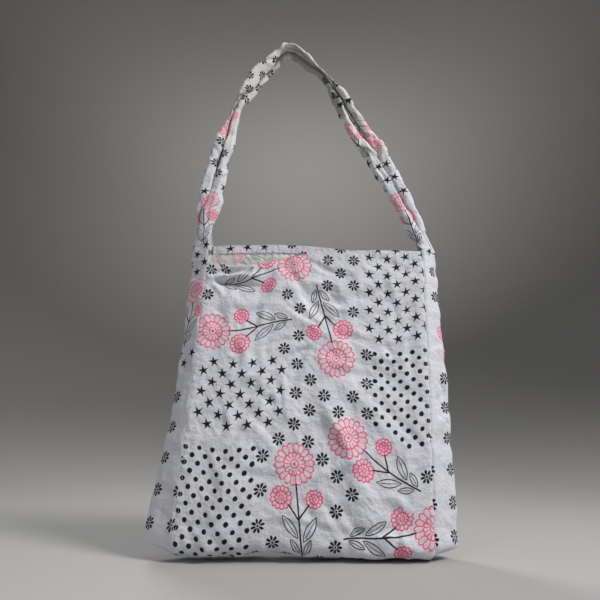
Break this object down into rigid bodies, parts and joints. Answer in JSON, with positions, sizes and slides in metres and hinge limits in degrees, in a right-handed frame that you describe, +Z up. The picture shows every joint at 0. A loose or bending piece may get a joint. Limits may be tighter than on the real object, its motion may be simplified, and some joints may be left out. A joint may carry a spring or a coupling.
{
  "type": "tote bag",
  "caption": "Thin printed-cotton tote bag with side gussets that carry on upward as one long, loosely rolled shoulder strap, hung up empty by the strap.",
  "frame": {"origin": "underside of the shoulder strap at its highest place, where a peg or a hand holds the bag", "axes": "+Z up, opposite to the way the bag hangs; the front of the bag faces -Y; +X is to the right as seen from the front"},
  "size_m": [0.3877, 0.0657, 0.7743],
  "materials": {
    "body_cotton": "thin plain-weave cotton, grey-white, printed in black and pink",
    "band_cotton": "the same thin printed cotton, creamier on its wrong side"
  },
  "bodies": {
    "root": {"body_panel": "body_cotton", "side_band": "band_cotton"}
  },
  "joints": []
}
